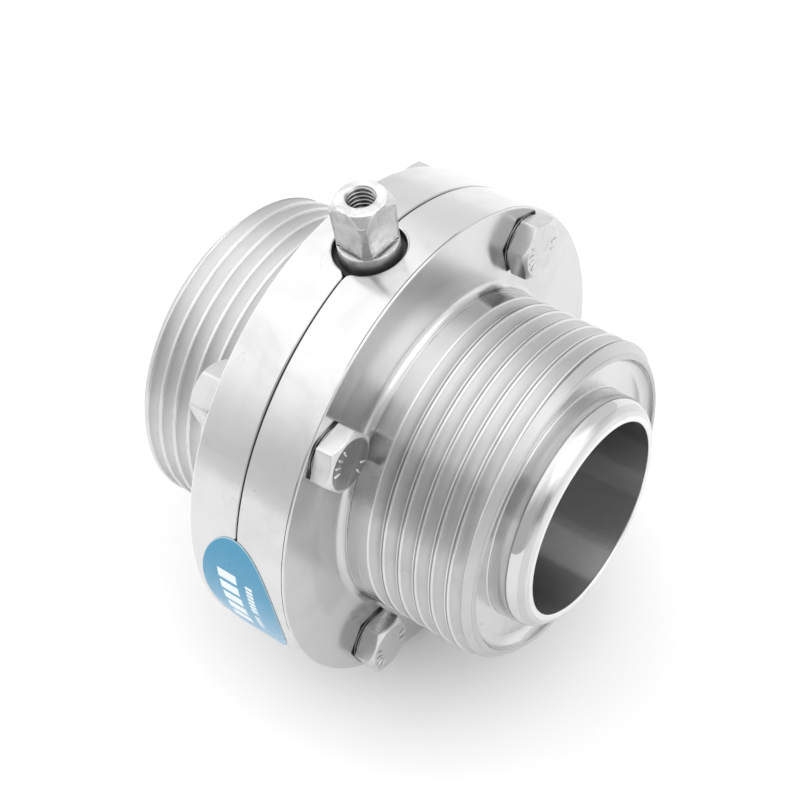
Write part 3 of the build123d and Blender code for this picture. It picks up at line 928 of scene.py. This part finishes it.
fastener = {
    "across": 9.85, "faceR": 4.45, "bevel": 30.0, "cornerCut": 0.9, "soft": 0.09,
    "headHigh": 4.0, "washerR": 4.88, "washerHigh": 0.43, "shankR": 2.95,
    "proud": 0.3, "tipBevel": 0.6, "nutHigh": 5.0, "nutBoreR": 3.0,
    "nutMouth": ((0, 0.26), (0.05, 0.2), (0.36, 0.03), (0.44, 0)),  # out from the bore, down from the end
    "headTurns": (35.7, 1.9, 47.6, 20.0), "nutTurns": (12.0, 22.0, 5.0, 50.0),
    "ringR": 2.6, "edge": 0.03, "foot": 0.02, "tipEdge": 0.05,
    "markR": 3.3, "markSize": (0.72, 0.22, 0.24), "marks": (100, 122, 144, 166, 290, 318),
}
fastener = SimpleNamespace(**fastener)


def hexColumns(f, headTurn):
    # Angles of the columns, with none on the six corners, so that each corner is a narrow bevel, and
    # the distance from the axis to the flats along each.
    cut = 30 - f.cornerCut
    oneFlat = np.degrees(np.arctan(np.linspace(-1, 1, 11) * np.tan(np.radians(cut))))
    angle = np.radians(np.concatenate([oneFlat + 60 * k for k in range(6)] + [[360 - cut]]))
    folded = (np.degrees(angle) + 30) % 60 - 30
    return angle + np.radians(headTurn + 30), f.across / 2 / np.cos(np.radians(folded))


def lift(angle, rows, seatX, centre, side):
    # Rows of (radius, height) about a bolt's axis, standing on the flange face at seatX. A bolt's
    # angle runs from +Y towards +Z on the front and from -Y towards +Z on the rear.
    radius, height = (np.array([value + 0 * angle for value in column]) for column in zip(*rows))
    y = centre[0] + side * radius * np.cos(angle)
    return np.stack([seatX + side * height, y, centre[1] + radius * np.sin(angle)], -1)


def bevelled(f, flat, top, sign):
    # The bevelled end of a hexagon: the rim of its round face, the cone, and the start of the flats.
    fall = np.tan(np.radians(f.bevel)) * sign
    edge = top - (flat - f.faceR) * fall
    return [
        (f.faceR - 1.4 * f.soft, top), (f.faceR + f.soft, top - f.soft * fall * 1.2),
        (flat - f.soft, edge + f.soft * fall), (flat, edge - f.soft * sign),
    ]


def boltGrid(f, headTurn, seatX, centre):
    # From the middle of the head's face over its rim and washer face, and down the shank to its tip.
    angle, flat = hexColumns(f, headTurn)
    under, tip = f.washerHigh, -(2 * seatX + f.nutHigh + f.proud)
    rows = [
        (0, f.headHigh), (f.ringR, f.headHigh), *bevelled(f, flat, f.headHigh, 1),
        (flat, under + 2 * f.edge), (flat - f.foot, under + f.foot / 2), (f.washerR, under),
        (f.washerR - f.edge, under - f.edge), (f.washerR - f.edge, 2 * f.edge), (f.washerR - 3 * f.edge, 0),
        (f.shankR + f.foot, 0), (f.shankR, -f.foot), (f.shankR, tip + f.tipBevel + f.tipEdge),
        (f.shankR - f.tipEdge, tip + f.tipBevel - f.tipEdge), (f.shankR - f.tipBevel, tip + f.edge),
        (f.shankR - f.tipBevel - f.tipEdge, tip), (0, tip),
    ]
    return lift(angle, rows, seatX, centre, 1)


def nutGrid(f, nutTurn, seatX, centre):
    # Up the bore, over the rounded mouth and the outer end, down the flats and back to the bore.
    angle, flat = hexColumns(f, nutTurn)
    bore, top = f.nutBoreR, f.nutHigh
    rows = [
        (bore, 0), *((bore + out, top - down) for out, down in f.nutMouth),
        *bevelled(f, flat, top, 1), *bevelled(f, flat, 0.0, -1)[::-1], (bore + f.foot, 0), (bore, 0),
    ]
    return lift(angle, rows, seatX, centre, -1)


def markPatch(f, angle, reach, seatX, centre):
    # A raised dash on a bolt head: a flattened egg, sunk to its middle.
    across = np.linspace(0, np.pi, 9)[:, None]
    roundIt = np.linspace(0, 2 * np.pi, 17)
    long, wide, high = f.markSize
    radius = reach + long * np.sign(np.cos(across)) * abs(np.cos(across)) ** 0.6
    side = wide * np.sin(across) ** 0.6 * np.cos(roundIt)
    up = high * np.sin(across) ** 0.6 * np.sin(roundIt)
    y = centre[0] + radius * np.cos(angle) - side * np.sin(angle)
    z = centre[1] + radius * np.sin(angle) + side * np.cos(angle)
    return formPatch(np.stack([seatX + f.headHigh + up, y, z], -1))


flangeX = half["flangeX"]
for k in range(4):
    spot = np.radians(45 + 90 * k)
    centre = half["boltCircleR"] * np.array([np.cos(spot), np.sin(spot)])
    headTurn, nutTurn = fastener.headTurns[k], fastener.nutTurns[k]
    patches = [formPatch(boltGrid(fastener, headTurn, flangeX, centre))]
    for at in fastener.marks:
        patches.append(markPatch(fastener, np.radians(at + headTurn), fastener.markR, flangeX, centre))
    bolt = shell(f"hex_bolt_{k + 1}", patches, boltSteel)
    nut = shell(f"hex_nut_{k + 1}", [formPatch(nutGrid(fastener, nutTurn, -flangeX, centre))], boltSteel)
    for piece, nodeName in ((bolt, f"bolt_{k + 1}"), (nut, f"nut_{k + 1}")):
        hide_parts(nodeName)
        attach(piece, "body")


# Label: a plain oval film with printed bars

labelLow, labelHigh = nodeBox("label")
film = {
    "halfWide": (labelHigh[0] - labelLow[0]) / 2, "halfLong": (labelHigh[2] - labelLow[2]) / 2,
    "middleX": (labelHigh[0] + labelLow[0]) / 2, "middleZ": (labelHigh[2] + labelLow[2]) / 2,
    "innerR": half["rimR"] + 0.02, "outerR": half["rimR"] + 0.17, "edgeDrop": 0.02, "cloudSize": 4.0,
    # faded and fade: a painted sheen that turns the blue paler downwards, between two heights in
    # millimetres.
    "blue": (0.035, 0.275, 0.46), "faded": (0.20, 0.42, 0.60), "fade": (6.0, -14.0), "shine": 0.30,
    "ink": (0.80, 0.88, 0.92), "inkSoft": 0.05, "cut": (0.42, 0.58, 0.66), "cutShare": (0.985, 0.995),
    # Printed bars: lowest and highest x, first and last z, the length of a dash and of its gap
    "bars": (
        (-4.3, -0.4, 5.4, -9.6, 2.3, 0.9),
        (1.5, 2.9, 4.4, -3.2, 0.75, 0.3),
        (1.5, 2.6, -4.4, -8.4, 0.6, 0.35),
    ),
}


def filmGrid(f):
    # An oval on the rim: x and z follow an ellipse, and y is what is left of the radius.
    angle = np.linspace(0, 2 * np.pi, 145)
    share = np.concatenate([np.linspace(0, 0.99, 14), [1.0]])[:, None]
    x = f.middleX + share * f.halfWide * np.cos(angle)
    z = f.middleZ + share * f.halfLong * np.sin(angle)
    outer = np.stack([x, -np.sqrt((f.outerR - f.edgeDrop * (share == 1.0))**2 - z**2), z], -1)
    inner = np.stack([x, -np.sqrt(f.innerR**2 - z**2), z], -1)
    return np.concatenate([outer, inner[::-1]])


def makeFilm(f):
    # Printed film: a blue that turns paler downwards as a painted sheen, rows of plain dashes, and a
    # thin pale cut edge.
    material, tree, surface, point = newMaterial("printed film")
    parts = split(point)
    x, z = (calc("DIVIDE", parts[letter], mm) for letter in "XZ")
    across = calc("DIVIDE", calc("SUBTRACT", x, f.middleX), f.halfWide)
    up = calc("DIVIDE", calc("SUBTRACT", z, f.middleZ), f.halfLong)
    soft = f.inkSoft
    printed = 0.0
    for low, high, top, bottom, dash, gap in f.bars:
        place = calc("MODULO", calc("SUBTRACT", top, z), dash + gap)
        inside = times(band(x, (low, high), soft), band(z, (bottom, top), soft),
                       band(place, (soft, dash), soft))
        printed = calc("MAXIMUM", inside, printed)
    clouds = noise(point, 1 / (f.cloudSize * mm), 3.0)
    # The painted sheen: the blue turns paler towards the bottom, broken by clouds.
    tint = mixed(ramp(plus(z, clouds), *f.fade), (*f.blue, 1), (*f.faded, 1))
    tint = mixed(printed, tint, (*f.ink, 1))
    tint = mixed(ramp(distance(across, up), *f.cutShare), tint, (*f.cut, 1))
    dull = ramp(clouds, *mostNoise, f.shine - 0.04, f.shine + 0.06)
    fill(surface, {"Base Color": tint, "Roughness": dull})
    return material


film = SimpleNamespace(**film)
filmPiece = shell("oval_label", [formPatch(filmGrid(film))], makeFilm(film))
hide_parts("label")
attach(filmPiece, "body")

# The seat ring and the bushes keep the shape they have
keptNodes = {"seat_ring": seatRubber, "upper_bush": bushPlastic, "lower_bush": bushPlastic}
for nodeName, material in keptNodes.items():
    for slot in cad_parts[nodeName].material_slots:
        slot.material = material
print("pieces made")


# Table and light

studio = {
    "tableZ": -half["rimR"], "tableWide": 6000.0, "tableTone": 0.96, "plain": 1.10,
    # Each soft light or shade: azimuth, elevation, brightness to add, inner and outer angle
    "lobes": (
        (180.0, 60.0, 0.50, 5.0, 62.0),
        (20.0, 45.0, 1.00, 4.0, 40.0),
        (-80.0, 18.0, -0.48, 22.0, 52.0),
        (80.0, 25.0, -0.22, 10.0, 45.0),
        (-25.0, 27.0, -0.36, 4.0, 26.0),
    ),
}


def makeTable():
    size, z = studio["tableWide"] / 2 * mm, studio["tableZ"] * mm
    mesh = bpy.data.meshes.new("table")
    corners = [(x * size, y * size, z) for x, y in ((-1, -1), (1, -1), (1, 1), (-1, 1))]
    mesh.from_pydata(corners, [], [range(4)])
    material, tree, surface, point = newMaterial("white table")
    tone = studio["tableTone"]
    fill(surface, {"Base Color": (tone, tone, tone, 1), "Roughness": 0.6, "Specular IOR Level": 0.2})
    mesh.materials.append(material)
    table = addObject("table", mesh)


def makeLight():
    # An even white room with a few soft lights and shades. Each is a smooth step of the angle between
    # the direction of view and its own direction.
    world = bpy.data.worlds.new("studio")
    bpy.context.scene.world = world
    world.use_nodes = True
    tree = world.node_tree
    direction = tree.nodes.new("ShaderNodeTexCoord").outputs["Generated"]
    bright = studio["plain"]
    for azimuth, elevation, strength, inner, outer in studio["lobes"]:
        azimuth, elevation, inner, outer = np.radians([azimuth, elevation, inner, outer])
        flat = np.cos(elevation)
        towards = (flat * np.cos(azimuth), flat * np.sin(azimuth), np.sin(elevation))
        facing = addNode(tree, "ShaderNodeVectorMath", {0: direction, 1: towards}, operation="DOT_PRODUCT")
        bright = plus(ramp(facing.outputs["Value"], np.cos(outer), np.cos(inner), 0.0, strength), bright)
    fill(tree.nodes["Background"], {"Color": (1, 1, 1, 1), "Strength": bright})


makeTable()
makeLight()
bpy.context.scene.view_settings.view_transform = "Standard"
print("studio made")
